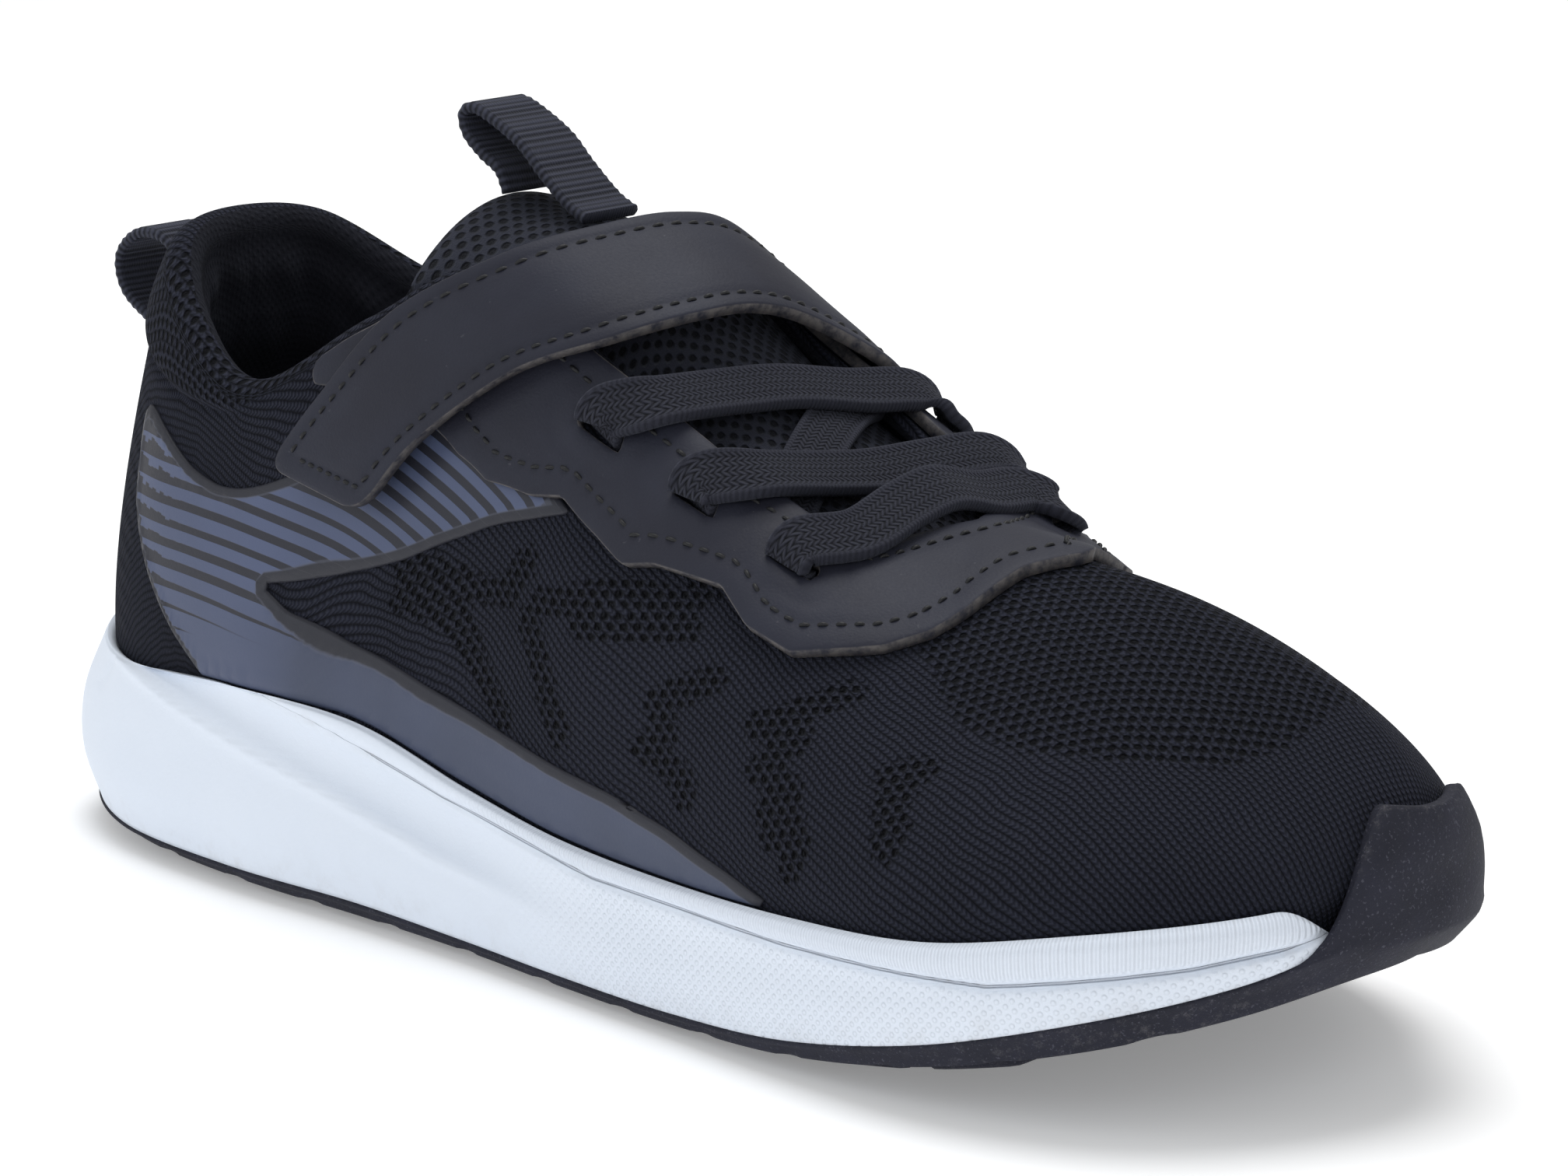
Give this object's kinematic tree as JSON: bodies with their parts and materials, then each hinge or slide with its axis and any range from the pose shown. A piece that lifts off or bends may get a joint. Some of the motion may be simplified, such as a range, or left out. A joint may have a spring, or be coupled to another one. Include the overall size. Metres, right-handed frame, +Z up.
{
  "type": "running shoe",
  "caption": "Low running shoe with a knitted upper, an instep strap closed by hook and loop tape, elastic lace bands, a padded tongue and a rockered foam sole on rubber tread.",
  "frame": {"origin": "middle of the shoe's footprint, on the ground under the tread", "axes": "+X towards the toe, +Y towards the inner side of the foot, +Z up"},
  "size_m": [0.2339, 0.0842, 0.1063],
  "materials": {
    "outsole_rubber": "matt moulded rubber with fine speckle",
    "midsole_foam": "matt closed-cell foam",
    "board": "matt fibre board",
    "insole_textile": "textile over foam",
    "knit": "engineered knit",
    "lining": "brushed textile",
    "padding": "open-cell foam",
    "stiffener": "matt thermoplastic sheet",
    "film": "matt bonded film",
    "synthetic_leather": "matt synthetic leather",
    "loop_pile": "brushed loop pile",
    "hook_plastic": "moulded hooks",
    "mesh": "spacer mesh",
    "webbing": "ribbed webbing",
    "elastic": "woven elastic"
  },
  "bodies": {
    "shoe": {"outsole": "outsole_rubber", "midsole": "midsole_foam", "lasting_board": "board", "insole": "insole_textile", "knit_upper": "knit", "forefoot_lining": "lining", "collar_lining": "lining", "collar_foam": "padding", "heel_counter": "stiffener", "toe_puff": "stiffener", "outer_side_panel": "film", "inner_side_panel": "film", "eyestay": "synthetic_leather", "strap_base": "synthetic_leather", "loop_tape": "loop_pile", "strap_root": "synthetic_leather", "tongue_mesh": "mesh", "tongue_foam": "padding", "tongue_lining": "lining", "heel_tab": "webbing", "heel_pull_loop": "webbing", "lace_band_front": "elastic", "lace_band_middle": "elastic", "lace_band_rear": "elastic", "cross_band_front": "elastic", "cross_band_rear": "elastic"},
    "strap": {"strap": "synthetic_leather", "hook_tape": "hook_plastic"},
    "tongue_top": {"tongue_top_mesh": "mesh", "tongue_top_foam": "padding", "tongue_top_lining": "lining", "tongue_pull_loop": "webbing"}
  },
  "joints": [
    {"name": "strap_hinge", "type": "hinge", "parent": "shoe", "child": "strap", "pos_m": [0.0037, 0.02532, 0.07136], "axis": [-0.9498, -0.0139, 0.3125], "range_deg": [0, 110]},
    {"name": "tongue_fold", "type": "hinge", "parent": "shoe", "child": "tongue_top", "pos_m": [-0.02, 0, 0.09147], "axis": [0, 1, 0], "range_deg": [0, 25], "stiffness_Nm_per_rad": 0.02}
  ]
}
